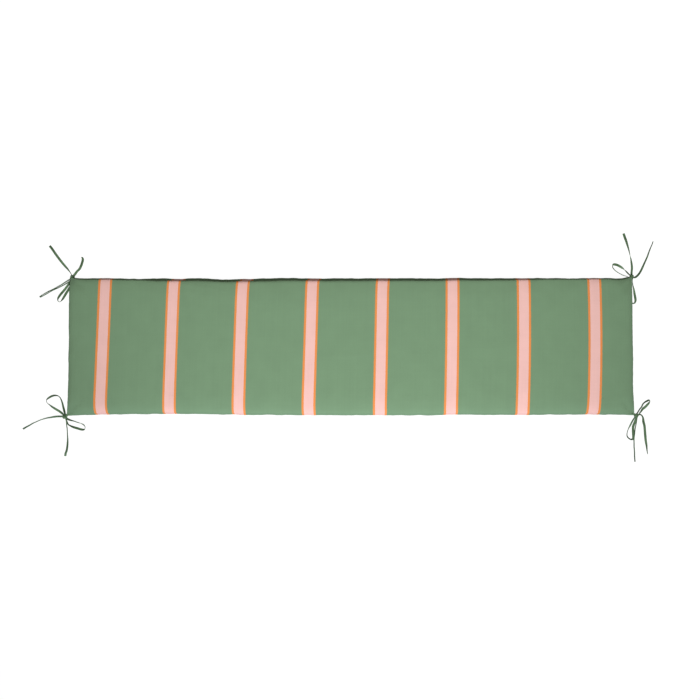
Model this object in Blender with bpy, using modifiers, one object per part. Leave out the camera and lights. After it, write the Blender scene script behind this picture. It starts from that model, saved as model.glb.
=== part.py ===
"""Bench cushion with a tape tie knotted in a bow at each corner.

The cushion lies on its back: +X runs along the bench, +Y to its back edge and +Z up. The origin is the
middle of the underside. Everything is in metres, except the tables, which are in millimetres and degrees.
"""

import math

import bmesh
import bpy
from mathutils import Matrix, Vector

MM = 0.001

# The cushion's size over everything but its ties
LENGTH = 1.800
DEPTH = 0.437
THICKNESS = 0.042

# How far the cuts of its cage stand in from the sides, and the number of spans between the innermost ones
CAGE_CUTS = (0.010, 0.028, 0.066)
SPANS_ALONG = 20
SPANS_ACROSS = 4

# The rolled edge in section, from the underside up: the height, and the inset from the outermost line at
# the back, at the front and at the ends, in millimetres. The back panel's roll stands out past the seam.
EDGE_SECTION = [
    {"level": "underside", "height": 0.0, "back": 17.0, "front": 17.0, "end": 17.0},
    {"level": "lower roll", "height": 9.5, "back": 0.0, "front": 0.0, "end": 0.5},
    {"level": "seam", "height": 20.5, "back": 10.5, "front": 8.0, "end": 8.0},
    {"level": "upper roll", "height": 30.5, "back": 7.0, "front": 3.0, "end": 3.0},
    {"level": "top", "height": 36.5, "back": 16.0, "front": 12.0, "end": 12.0},
]
SEAM_LEVEL = 2
SEAM_CREASE = 0.8

# The filling: how full the top is at its edge, and how fast it fills up inwards
EDGE_FULLNESS = 0.72
FILL_REACH = 0.040

# The smoothed underside sinks this far into the bench, and is cut flat there where the cushion lies on it
UNDERSIDE_SINK = 0.0006
BENCH_MARGIN = 0.1

# A corner is flatter, less rolled and lifted off the bench: the shares at its tip, and how far in they reach
CORNER_FLATNESS = 0.42
CORNER_SQUARING = 0.5
CORNER_SEAM_HEIGHT = 0.015
CORNER_REACH = 0.032
CORNER_LIFT = 0.0045
CORNER_LIFT_REACH = 0.045

# How far the long sides are drawn in between the corners: the place along the bench and the inset of the
# back and of the front edge, in millimetres
DRAWN_IN = [
    {"along": -900, "back": 0.0, "front": 0.0},
    {"along": -800, "back": 1.6, "front": 1.6},
    {"along": -670, "back": 3.4, "front": 3.6},
    {"along": -540, "back": 3.0, "front": 4.8},
    {"along": -410, "back": 4.2, "front": 3.6},
    {"along": -280, "back": 2.0, "front": 2.2},
    {"along": -150, "back": 1.0, "front": 0.5},
    {"along": 30, "back": 1.3, "front": 0.0},
    {"along": 110, "back": 3.2, "front": 0.3},
    {"along": 350, "back": 0.6, "front": 2.2},
    {"along": 540, "back": 1.9, "front": 1.8},
    {"along": 670, "back": 1.0, "front": 2.8},
    {"along": 800, "back": 0.8, "front": 1.8},
    {"along": 900, "back": 0.0, "front": 0.0},
]

# The short sides are drawn in as one bow. The draw and the lumps fade by these powers of the way out or up.
END_DRAW = 0.003
DRAW_FADE = 3
LUMP_FADE = 4

# Lumps of filling raise and lower the top: where each is, how far it reaches and its rise, in millimetres
LUMPS = [
    {"along": -700, "across": 60, "reach": 150, "rise": -1.2},
    {"along": -470, "across": -50, "reach": 170, "rise": 1.4},
    {"along": -180, "across": 70, "reach": 160, "rise": -1.0},
    {"along": 120, "across": 110, "reach": 120, "rise": -1.4},
    {"along": 260, "across": -60, "reach": 170, "rise": 1.2},
    {"along": 560, "across": 60, "reach": 150, "rise": -1.2},
    {"along": 740, "across": -70, "reach": 140, "rise": 1.0},
]

# The ears that the ties pull at the corners: which side each is on, and the pull along and across, in
# millimetres
CORNERS = {
    "back_left": {"side": (-1, 1), "pull": (13.0, 2.0)},
    "back_right": {"side": (1, 1), "pull": (-2.5, 5.0)},
    "front_left": {"side": (-1, -1), "pull": (-5.0, -5.0)},
    "front_right": {"side": (1, -1), "pull": (4.0, -4.0)},
}
EAR_REACH = 0.024

# The tape of the ties, and its clearances
TAPE_WIDTH = 0.008
TAPE_THICKNESS = 0.0012
TAPE_STEP = 0.012
TAPE_TURN = math.radians(22)
CURVE_PIECES = 12
STEM_THICKNESS = 0.0026
SEAM_GAP = 0.0003
REST_GAP = 0.0004
WELD = 0.00001
KNOT_SIZE = Vector((0.0150, 0.0125, 0.0110))
KNOT_SEGMENTS = 12
KNOT_RINGS = 8

# Each tie, laid out by hand. knot is the knot's place from the bench's middle. A row is a point of a tape's
# middle line: east and north from the knot, its lift above lying on the surface, and its lean, from 0 for a
# tape that lies flat to 90 for one on its edge, and past 90 where it leans over to the other side.
ROW = ("east", "north", "lift", "lean")
TIES = {
    "back_left": {
        "knot": {"along": -891, "across": 221, "height": 9.0, "turn": 35},
        "loop_a": [
            (-3, 0, 5, 60),
            (-9, -7, 5, 48),
            (-19, -13, 3, 42),
            (-32, -21, 1, 60),
            (-46, -29, 0, 74),
            (-62, -38, 0, 82),
            (-79, -46, 0, 88),
            (-93, -54, 0, 90),
            (-102, -60, 0, 90),
            (-105, -62, 0, 90),
            (-103, -64, 0, 90),
            (-92, -58, 0, 90),
            (-78, -50, 0, 91),
            (-62, -41, 0, 94),
            (-45, -33, 0, 104),
            (-29, -25, 1, 122),
            (-15, -17, 3, 138),
            (-5, -9, 5, 120),
            (-2, -3, 5, 108),
        ],
        "loop_b": [
            (-3, -5, 3, 100),
            (-8, -15, 1, 118),
            (-16, -25, 0, 130),
            (-24, -36, 0, 134),
            (-33, -47, 0, 132),
            (-41, -57, 0, 126),
            (-46, -66, 0, 116),
            (-47, -74, 0, 100),
            (-43, -79, 0, 90),
            (-37, -77, 0, 82),
            (-32, -70, 0, 66),
            (-26, -59, 0, 54),
            (-19, -47, 0, 50),
            (-13, -37, 0, 58),
            (-7, -26, 0, 74),
            (-2, -11, 2, 82),
            (0, -4, 3, 84),
        ],
        "end_a": [
            (-2, 3, 4, 70),
            (-4, 9, 3, 82),
            (-10, 18, 1, 80),
            (-17, 27, 0, 66),
            (-27, 38, 0, 54),
            (-38, 51, 0, 44),
            (-49, 65, 0, 38),
            (-60, 80, 0, 34),
            (-69, 93, 0, 32),
            (-77, 103, 0, 30),
        ],
        "end_b": [
            (2, 3, 5, 130),
            (7, 10, 3, 136),
            (13, 19, 1, 128),
            (21, 28, 0, 134),
            (26, 39, 0, 140),
            (29, 49, 0, 142),
            (31, 57, 0, 136),
            (30, 63, 0, 120),
            (27, 66, 0, 104),
        ],
    },
    "back_right": {
        "knot": {"along": 903, "across": 222, "height": 9.0, "turn": -35},
        "loop_a": [
            (-3, 4, 5, 104),
            (-9, 10, 3, 112),
            (-15, 17, 1, 114),
            (-23, 25, 0, 92),
            (-33, 33, 0, 58),
            (-43, 39, 0, 46),
            (-50, 41, 0, 50),
            (-57, 41, 0, 64),
            (-60, 38, 0, 82),
            (-59, 31, 0, 86),
            (-54, 24, 0, 86),
            (-46, 17, 0, 87),
            (-36, 11, 0, 87),
            (-26, 6, 1, 86),
            (-15, 2, 3, 84),
            (-6, -1, 5, 80),
        ],
        "loop_b": [
            (3, -3, 3, 84),
            (4, -14, 1, 84),
            (5, -27, 0, 78),
            (8, -40, 0, 68),
            (10, -53, 0, 60),
            (12, -64, 0, 56),
            (13, -73, 0, 58),
            (11, -81, 0, 70),
            (6, -85, 0, 82),
            (2, -84, 0, 90),
            (0, -77, 0, 92),
            (0, -63, 0, 92),
            (0, -43, 0, 92),
            (1, -24, 0, 92),
            (-1, -8, 3, 90),
            (0, -3, 3, 88),
        ],
        "end_a": [
            (0, 5, 5, 130),
            (1, 16, 3, 132),
            (3, 30, 1, 134),
            (2, 44, 0, 128),
            (0, 58, 0, 114),
            (-3, 71, 0, 96),
            (-6, 86, 0, 84),
            (-10, 101, 0, 72),
            (-14, 116, 0, 58),
            (-18, 129, 0, 42),
            (-22, 142, 0, 30),
        ],
        "end_b": [
            (4, -1, 4, 50),
            (12, -1, 3, 44),
            (20, 5, 1, 46),
            (28, 15, 0, 50),
            (35, 28, 0, 54),
            (41, 41, 0, 60),
            (47, 54, 0, 66),
            (53, 67, 0, 72),
            (58, 81, 0, 78),
            (64, 96, 0, 83),
            (69, 107, 0, 86),
            (72, 116, 0, 88),
        ],
    },
    "front_left": {
        "knot": {"along": -908, "across": -226, "height": 9.0, "turn": 55},
        "loop_a": [
            (-3, 5, 5, 62),
            (-10, 11, 3, 48),
            (-20, 18, 1, 44),
            (-32, 25, 0, 48),
            (-43, 32, 0, 60),
            (-51, 38, 0, 76),
            (-58, 44, 0, 84),
            (-61, 50, 0, 82),
            (-59, 56, 0, 68),
            (-53, 61, 0, 54),
            (-44, 66, 0, 50),
            (-35, 68, 0, 62),
            (-26, 67, 0, 80),
            (-19, 63, 0, 88),
            (-14, 55, 0, 84),
            (-10, 44, 0, 74),
            (-7, 32, 0, 66),
            (-3, 19, 2, 62),
            (0, 8, 5, 70),
            (0, 3, 5, 72),
        ],
        "loop_b": [
            (4, -4, 3, 64),
            (10, -8, 2, 58),
            (18, -11, 1, 68),
            (29, -14, 0, 78),
            (40, -18, 0, 84),
            (50, -21, 0, 92),
            (58, -25, 0, 108),
            (63, -30, 0, 104),
            (64, -35, 0, 96),
            (62, -40, 0, 108),
            (56, -41, 0, 126),
            (47, -39, 0, 134),
            (37, -36, 0, 136),
            (27, -33, 0, 128),
            (18, -29, 0, 110),
            (11, -25, 1, 100),
            (7, -18, 2, 104),
            (4, -9, 4, 96),
            (1, -3, 4, 92),
        ],
        "end_a": [
            (-4, 1, 5, 52),
            (-13, 1, 3, 44),
            (-24, 1, 1, 44),
            (-35, 0, 0, 48),
            (-46, -2, 0, 56),
            (-58, -4, 0, 66),
            (-69, -7, 0, 76),
            (-81, -11, 0, 83),
            (-92, -16, 0, 83),
            (-103, -21, 0, 78),
            (-113, -27, 0, 70),
            (-124, -33, 0, 62),
            (-134, -39, 0, 54),
        ],
        "end_b": [
            (2, -5, 4, 86),
            (4, -14, 1, 86),
            (5, -26, 0, 87),
            (7, -40, 0, 87),
            (8, -55, 0, 84),
            (9, -69, 0, 74),
            (9, -82, 0, 60),
            (8, -96, 0, 46),
            (6, -108, 0, 38),
            (3, -117, 0, 34),
            (2, -125, 0, 30),
        ],
    },
    "front_right": {
        "knot": {"along": 911, "across": -223, "height": 9.0, "turn": -50},
        "loop_a": [
            (-1, 3, 5, 80),
            (5, 12, 4, 84),
            (12, 22, 1, 84),
            (18, 29, 1, 81),
            (22, 37, 0, 80),
            (28, 43, 0, 76),
            (35, 47, 0, 68),
            (42, 50, 0, 66),
            (45, 47, 0, 80),
            (42, 41, 0, 60),
            (37, 35, 0, 44),
            (30, 28, 0, 38),
            (22, 22, 0, 42),
            (16, 15, 3, 60),
            (10, 8, 6, 68),
            (4, -1, 5, 72),
        ],
        "loop_b": [
            (-4, -3, 4, 64),
            (-9, -11, 3, 58),
            (-14, -20, 2, 54),
            (-19, -30, 1, 54),
            (-24, -39, 0, 68),
            (-28, -49, 0, 72),
            (-30, -59, 0, 68),
            (-29, -66, 1, 64),
            (-24, -72, 2, 66),
            (-18, -75, 3, 66),
            (-12, -73, 4, 60),
            (-11, -66, 4, 54),
            (-11, -55, 4, 44),
            (-11, -45, 4, 38),
            (-10, -33, 4, 36),
            (-5, -19, 5, 46),
            (-2, -9, 6, 60),
            (1, -3, 5, 68),
        ],
        "end_a": [
            (2, -5, 4, 100),
            (1, -15, 2, 100),
            (-1, -29, 0, 102),
            (-4, -43, 0, 106),
            (-6, -57, 0, 132),
            (-8, -71, 0, 160),
            (-8, -85, 0, 146),
            (-8, -99, 0, 136),
            (-7, -113, 0, 134),
            (-7, -129, 0, 142),
            (-6, -146, 0, 150),
        ],
        "end_b": [
            (5, 3, 5, 74),
            (12, 4, 3, 70),
            (18, 1, 2, 66),
            (22, -7, 1, 54),
            (24, -19, 0, 34),
            (27, -32, 0, 22),
            (28, -47, 0, 18),
            (29, -62, 0, 24),
            (30, -78, 0, 38),
            (32, -94, 0, 54),
            (33, -108, 0, 68),
            (35, -122, 0, 78),
        ],
    },
}

CLOTH_COLOUR = (0.200, 0.325, 0.191, 1.0)
TAPE_COLOUR = (0.120, 0.215, 0.120, 1.0)
CLOTH_ROUGHNESS = 0.88


def clear_scene():
    for thing in list(bpy.data.objects):
        bpy.data.objects.remove(thing)


def collection(name):
    found = bpy.data.collections.new(name)
    bpy.context.scene.collection.children.link(found)
    return found


def cloth(name, colour):
    material = bpy.data.materials.new(name)
    material.use_nodes = True
    shader = material.node_tree.nodes["Principled BSDF"]
    shader.inputs["Base Color"].default_value = colour
    shader.inputs["Roughness"].default_value = CLOTH_ROUGHNESS
    shader.inputs["Metallic"].default_value = 0.0
    material.diffuse_color = colour
    return material


def between(rows, place, column):
    """The value of a table's column at a place along the bench, eased from row to row."""
    for low, high in zip(rows, rows[1:]):
        if place <= high["along"]:
            share = max(0.0, (place - low["along"]) / (high["along"] - low["along"]))
            eased = share * share * (3 - 2 * share)
            return low[column] + (high[column] - low[column]) * eased
    return rows[-1][column]


# ---- cushion


def cage_cuts(extent, spans):
    """The places of a cage's cuts across one of its extents, closer together near both sides."""
    inner = extent / 2 - CAGE_CUTS[-1]
    near_side = [extent / 2 - cut for cut in CAGE_CUTS[:-1]]
    middle = [inner - 2 * inner * i / spans for i in range(spans + 1)]
    return near_side + middle + [-place for place in near_side]


def slice_cage(cage, axis, places):
    for place in places:
        bmesh.ops.bisect_plane(
            cage,
            geom=cage.verts[:] + cage.edges[:] + cage.faces[:],
            plane_co=axis * place,
            plane_no=axis,
        )


def cage_level(point):
    """Which row of the edge's section a point of the box-shaped cage belongs to."""
    return round(point.z / THICKNESS * (len(EDGE_SECTION) - 1))


def fullness(from_side):
    return EDGE_FULLNESS + (1 - EDGE_FULLNESS) * (1 - math.exp(-from_side / FILL_REACH))


def lump(x, y):
    rise = 0.0
    for row in LUMPS:
        away = math.hypot(x - row["along"] * MM, y - row["across"] * MM) / (row["reach"] * MM)
        rise += row["rise"] * MM * math.exp(-away * away)
    return rise


def corner_lift(from_end, from_side):
    """How high a corner's underside stands off the bench."""
    share = max(0.0, 1 - (from_end + from_side) / CORNER_LIFT_REACH)
    return CORNER_LIFT * share * share


def cushion_point(point):
    """Where a point of the box-shaped cage goes on the filled cushion."""
    x, y, _ = point
    level = cage_level(point)
    section = EDGE_SECTION[level]
    from_end = LENGTH / 2 - abs(x)
    from_side = DEPTH / 2 - abs(y)
    corner = math.exp(-(from_end + from_side) / CORNER_REACH)

    # the roll of the edge, which fades out by the innermost of the close cuts
    fade_end = max(0.0, 1 - from_end / CAGE_CUTS[-1])
    fade_side = max(0.0, 1 - from_side / CAGE_CUTS[-1])
    side = "back" if y > 0 else "front"
    kept = MM * (1 - CORNER_SQUARING * corner)
    drawn = between(DRAWN_IN, x / MM, side) * MM
    bow = END_DRAW * math.cos(math.pi * y / DEPTH) ** 2
    inset_x = section["end"] * kept * fade_end + bow * abs(2 * x / LENGTH) ** DRAW_FADE
    inset_y = section[side] * kept * fade_side + drawn * abs(2 * y / DEPTH) ** DRAW_FADE
    moved_x = x - math.copysign(inset_x, x)
    moved_y = y - math.copysign(inset_y, y)

    # the height: the crown on top, the flat underside, and corners where top and back panel close together
    seam = EDGE_SECTION[SEAM_LEVEL]["height"] * MM
    height = section["height"] * MM
    if level == len(EDGE_SECTION) - 1:
        full = fullness(from_end) * fullness(from_side)
        height = seam + (THICKNESS - seam) * full + lump(x, y) * full**LUMP_FADE
    height += (CORNER_SEAM_HEIGHT - height) * CORNER_FLATNESS * corner
    if level == 0:
        height = corner_lift(from_end, from_side) - UNDERSIDE_SINK

    for row in CORNERS.values():
        side_x, side_y = row["side"]
        away = math.hypot(x - side_x * LENGTH / 2, y - side_y * DEPTH / 2) / EAR_REACH
        pull = math.exp(-away * away)
        moved_x += row["pull"][0] * MM * pull
        moved_y += row["pull"][1] * MM * pull
    return Vector((moved_x, moved_y, height))


def shown_mesh(thing):
    """The mesh of an object with its modifiers, which the caller removes."""
    bpy.context.view_layer.update()
    evaluated = thing.evaluated_get(bpy.context.evaluated_depsgraph_get())
    return bpy.data.meshes.new_from_object(evaluated)


def fit_to_size(thing, size, base):
    """Fits a soft form so that its smoothed surface has exactly the size and its lowest point is at base."""
    smoothed = shown_mesh(thing)
    low = Vector(min(v.co[axis] for v in smoothed.vertices) for axis in range(3))
    high = Vector(max(v.co[axis] for v in smoothed.vertices) for axis in range(3))
    bpy.data.meshes.remove(smoothed)
    ratio = [size[axis] / (high[axis] - low[axis]) for axis in range(3)]
    foot = Vector(((low.x + high.x) / 2, (low.y + high.y) / 2, low.z))
    stand = Matrix.Translation((0, 0, base))
    thing.data.transform(stand @ Matrix.Diagonal((*ratio, 1.0)) @ Matrix.Translation(-foot))


def make_bench_block(guides):
    """The block of bench that the cushion's underside is cut flat by. Its top is at the origin's height."""
    block = bmesh.new()
    size = (LENGTH + BENCH_MARGIN, DEPTH + BENCH_MARGIN, BENCH_MARGIN)
    place = Matrix.Translation((0, 0, -BENCH_MARGIN / 2)) @ Matrix.Diagonal((*size, 1))
    bmesh.ops.create_cube(block, size=1.0, matrix=place)
    mesh = bpy.data.meshes.new("bench_block")
    block.to_mesh(mesh)
    block.free()
    bench = bpy.data.objects.new("bench_block", mesh)
    guides.objects.link(bench)
    bench.hide_render = True
    bench.display_type = "WIRE"
    return bench


def make_cushion(parts, guides, material):
    cage = bmesh.new()
    box = Matrix.Translation((0, 0, THICKNESS / 2)) @ Matrix.Diagonal((LENGTH, DEPTH, THICKNESS, 1))
    bmesh.ops.create_cube(cage, size=1.0, matrix=box)
    slice_cage(cage, Vector((1, 0, 0)), cage_cuts(LENGTH, SPANS_ALONG))
    slice_cage(cage, Vector((0, 1, 0)), cage_cuts(DEPTH, SPANS_ACROSS))
    levels = len(EDGE_SECTION) - 1
    slice_cage(cage, Vector((0, 0, 1)), [THICKNESS * i / levels for i in range(1, levels)])
    crease = cage.edges.layers.float.new("crease_edge")
    for edge in cage.edges:
        if all(cage_level(vertex.co) == SEAM_LEVEL for vertex in edge.verts):
            edge[crease] = SEAM_CREASE
    for vertex in cage.verts:
        vertex.co = cushion_point(vertex.co)
    mesh = bpy.data.meshes.new("cushion")
    cage.to_mesh(mesh)
    cage.free()
    mesh.materials.append(material)
    mesh.shade_smooth()
    cushion = bpy.data.objects.new("cushion", mesh)
    parts.objects.link(cushion)
    rounding = cushion.modifiers.new("rounding", "SUBSURF")
    rounding.levels = 1
    rounding.render_levels = 1
    fit_to_size(cushion, (LENGTH, DEPTH, THICKNESS + UNDERSIDE_SINK), -UNDERSIDE_SINK)
    flat = cushion.modifiers.new("flat_underside", "BOOLEAN")
    flat.operation = "DIFFERENCE"
    flat.solver = "EXACT"
    flat.object = make_bench_block(guides)
    return cushion


def corner_tip(surface, side, knot):
    """The point of the cushion's corner that is nearest to a knot: the tie's root is sewn in there."""
    nearby = [v.co for v in surface.vertices if v.co.x * side[0] > 0 and v.co.y * side[1] > 0]
    return min(nearby, key=lambda co: (co - knot).length).copy()


# ---- ties


def curve_through(points):
    """Close points of the smooth curve through the given ones, each a Vector of place and lean."""
    ends = [points[0] * 2 - points[1]] + points + [points[-1] * 2 - points[-2]]
    close = []
    for before, start, end, after in zip(ends, ends[1:], ends[2:], ends[3:]):
        for i in range(CURVE_PIECES):
            t = i / CURVE_PIECES
            straight = (end - before) * t
            bent = (2 * before - 5 * start + 4 * end - after) * t * t
            eased = (3 * start - before - 3 * end + after) * t**3
            close.append((2 * start + straight + bent + eased) / 2)
    return close + [points[-1]]


def thinned(close):
    """The points that a tape needs: one wherever it has turned or travelled far enough."""
    kept = [close[0]]
    heading = (close[1] - close[0]).xyz
    travelled = 0.0
    for before, point, after in zip(close, close[1:], close[2:]):
        travelled += (point - before).xyz.length
        turned = heading.angle((after - point).xyz, 0.0)
        if travelled > TAPE_STEP or (turned > TAPE_TURN and travelled > TAPE_THICKNESS):
            kept.append(point)
            heading = (after - point).xyz
            travelled = 0.0
    return kept + [close[-1]]


def resting_height(lean, thickness):
    """How high the middle of a tape lies when it rests on the surface at a lean."""
    return (TAPE_WIDTH * math.sin(lean) + thickness * abs(math.cos(lean))) / 2 + REST_GAP


def tape_points(rows, knot):
    points = []
    for values in rows:
        row = dict(zip(ROW, values))
        lean = math.radians(row["lean"])
        height = resting_height(lean, TAPE_THICKNESS) + row["lift"] * MM
        points.append(Vector((knot.x + row["east"] * MM, knot.y + row["north"] * MM, height, lean)))
    return points


def tape_solid(name, points, thickness, guides):
    """A closed length of flat tape along the points. Its width is upright where the lean is 90 degrees."""
    line = bpy.data.curves.new(name, "CURVE")
    line.dimensions = "3D"
    line.twist_mode = "Z_UP"
    line.extrude = (TAPE_WIDTH - thickness) / 2
    line.bevel_depth = thickness / 2
    line.bevel_resolution = 0
    line.use_fill_caps = True
    spline = line.splines.new("POLY")
    spline.points.add(len(points) - 1)
    for target, point in zip(spline.points, points):
        target.co = (*point.xyz, 1)
        target.tilt = math.pi / 2 - point.w
    swept = bpy.data.objects.new(name, line)
    guides.objects.link(swept)
    mesh = shown_mesh(swept)
    bpy.data.objects.remove(swept)
    welded = bmesh.new()
    welded.from_mesh(mesh)
    bmesh.ops.remove_doubles(welded, verts=welded.verts, dist=WELD)
    welded.to_mesh(mesh)
    welded.free()
    solid = bpy.data.objects.new(name, mesh)
    guides.objects.link(solid)
    solid.hide_render = True
    solid.display_type = "WIRE"
    return solid


def make_tie(corner, table, surface, parts, guides, material):
    """A tie as one solid: the knot joined to its stem from the seam, two loops and two free ends."""
    place = table["knot"]
    knot = Vector((place["along"], place["across"], place["height"])) * MM
    form = bmesh.new()
    stand = Matrix.Translation(knot) @ Matrix.Rotation(math.radians(place["turn"]), 4, "Z")
    bmesh.ops.create_uvsphere(
        form,
        u_segments=KNOT_SEGMENTS,
        v_segments=KNOT_RINGS,
        radius=0.5,
        matrix=stand @ Matrix.Diagonal((*KNOT_SIZE, 1)),
    )
    mesh = bpy.data.meshes.new("tie_" + corner)
    form.to_mesh(mesh)
    form.free()
    mesh.materials.append(material)
    tie = bpy.data.objects.new("tie_" + corner, mesh)
    parts.objects.link(tie)

    tip = corner_tip(surface, CORNERS[corner]["side"], knot)
    toward = (knot - tip).normalized()
    root = tip + toward * SEAM_GAP
    stem = [Vector((*root, 0.0)), Vector((*root.lerp(knot, 0.5), 0.0)), Vector((*knot, 0.0))]
    lengths = {"stem": (stem, STEM_THICKNESS)}
    for name in ("loop_a", "loop_b", "end_a", "end_b"):
        lengths[name] = (thinned(curve_through(tape_points(table[name], knot))), TAPE_THICKNESS)
    for name, (points, thickness) in lengths.items():
        joined = tie.modifiers.new(name, "BOOLEAN")
        joined.operation = "UNION"
        joined.solver = "EXACT"
        joined.object = tape_solid(corner + "_" + name, points, thickness, guides)
    return tie


def main():
    clear_scene()
    parts = collection("bench_cushion")
    guides = collection("guides")
    cushion = make_cushion(parts, guides, cloth("striped_cloth", CLOTH_COLOUR))
    surface = shown_mesh(cushion)
    tape = cloth("green_tape", TAPE_COLOUR)
    for corner, table in TIES.items():
        make_tie(corner, table, surface, parts, guides, tape)
    bpy.data.meshes.remove(surface)


main()
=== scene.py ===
# The looks of the bench cushion: its striped cover over the filling, and the tape ties bowed at its corners.
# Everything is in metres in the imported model's frame: +X along the bench, +Y to its back edge, +Z up.

import math

import bmesh
import bpy
from mathutils import Matrix, Vector, noise


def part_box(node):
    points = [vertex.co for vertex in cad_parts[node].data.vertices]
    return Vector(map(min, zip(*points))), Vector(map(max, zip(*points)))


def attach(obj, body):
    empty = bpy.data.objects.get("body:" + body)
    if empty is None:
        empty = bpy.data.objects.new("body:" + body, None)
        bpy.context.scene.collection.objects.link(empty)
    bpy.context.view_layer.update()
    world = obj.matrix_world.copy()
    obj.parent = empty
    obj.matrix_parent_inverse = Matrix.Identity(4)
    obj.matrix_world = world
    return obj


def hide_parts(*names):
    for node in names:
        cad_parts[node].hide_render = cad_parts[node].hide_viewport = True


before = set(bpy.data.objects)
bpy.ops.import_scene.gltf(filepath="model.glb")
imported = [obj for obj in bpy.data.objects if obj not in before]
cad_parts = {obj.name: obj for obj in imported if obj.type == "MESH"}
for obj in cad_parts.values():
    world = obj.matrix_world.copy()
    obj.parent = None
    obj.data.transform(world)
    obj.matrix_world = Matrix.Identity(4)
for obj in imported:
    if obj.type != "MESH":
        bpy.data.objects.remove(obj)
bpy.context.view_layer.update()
cushionLow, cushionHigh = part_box("cushion")
scene = bpy.context.scene
mm = 0.001
print("frame loaded:", ", ".join(sorted(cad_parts)))


def toLinear(hexColour):
    # an sRGB hex value as the linear colour that shaders take
    parts = [int(hexColour[i : i + 2], 16) / 255 for i in (1, 3, 5)]
    return (*[p / 12.92 if p <= 0.04045 else ((p + 0.055) / 1.055) ** 2.4 for p in parts], 1.0)


def addNode(tree, kind, inputs=None, **settings):
    # a node with its settings; an input takes a value or another node's socket
    node = tree.nodes.new(kind)
    for name, value in settings.items():
        setattr(node, name, value)
    for name, value in (inputs or {}).items():
        if isinstance(value, bpy.types.NodeSocket):
            tree.links.new(value, node.inputs[name])
        else:
            node.inputs[name].default_value = value
    return node


def newMaterial(name):
    material = bpy.data.materials.new(name)
    material.use_nodes = True
    return material, material.node_tree, material.node_tree.nodes["Principled BSDF"]


def linkObject(name, data):
    thing = bpy.data.objects.new(name, data)
    scene.collection.objects.link(thing)
    return thing


def meshObject(name, form, materials):
    mesh = bpy.data.meshes.new(name)
    form.to_mesh(mesh)
    form.free()
    for material in materials:
        mesh.materials.append(material)
    mesh.shade_smooth()
    return linkObject(name, mesh)


# The camera looks nearly straight down on the cushion, from a little to its front.
camera = {
    "lookAt": (-0.0006, -0.0134, 0.015),  # the middle of the picture, at the height of the seam
    "distance": 3.8,
    "leanToFront": 4.0,  # degrees off straight down
    "widthSeen": 2.233,  # how much the picture's width takes in at that distance
    "sensor": 36.0,
}


def makeCamera():
    lean = math.radians(camera["leanToFront"])
    lens = bpy.data.cameras.new("camera")
    lens.sensor_width = camera["sensor"]
    lens.lens = camera["sensor"] * camera["distance"] / camera["widthSeen"]
    eye = linkObject("camera", lens)
    away = Vector((0, -math.sin(lean), math.cos(lean)))
    eye.location = Vector(camera["lookAt"]) + camera["distance"] * away
    eye.rotation_euler = (lean, 0, 0)
    scene.camera = eye
    print("camera: lens", round(lens.lens, 1), "mm")


makeCamera()

# The tape of the ties: cotton cloth folded twice along its length and stitched along its closed edge.
tape = {
    "width": 8.0 * mm,
    "thickness": 1.6 * mm,
    "surfaceGap": 0.4 * mm,  # how far the lowest edge stays off the surface
    "step": 1.8 * mm,  # between its cross-sections
    "routePieces": 24,  # close points worked out between two of a route's own
    "curl": 0.35 * mm,  # how far its edges curl away from flat, at most
    "wander": 4.0,  # degrees that its lean strays along the way, at most
    "strayLength": 26 * mm,
    "sewnIn": 4.0 * mm,  # the length that is caught in the seam
    "stemLean": 17.0,  # degrees, where it leaves the seam
    "layers": (0.9 * mm, -0.9 * mm),  # the two halves lie on each other in the stem
    "endTuck": 1.2 * mm,  # the length over which a folded-in end thins out
    "endThin": 0.45,
}

# half of the section's outline, across the width and through the thickness, in mm: the fold at the left, a
# groove along the line of stitching, and the closed edge at the right
tapeSection = [
    {"across": -4.00, "through": 0.00},
    {"across": -3.84, "through": 0.46},
    {"across": -3.36, "through": 0.74},
    {"across": -2.20, "through": 0.70},
    {"across": -0.40, "through": 0.61},
    {"across": 1.40, "through": 0.66},
    {"across": 2.25, "through": 0.73},
    {"across": 2.65, "through": 0.56},
    {"across": 3.05, "through": 0.74},
    {"across": 3.58, "through": 0.78},
    {"across": 3.88, "through": 0.50},
    {"across": 4.00, "through": 0.00},
]

stitch = {"every": 2.9 * mm, "long": 2.1 * mm, "wide": 0.42 * mm, "across": 2.65 * mm, "raised": 0.61 * mm}

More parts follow.
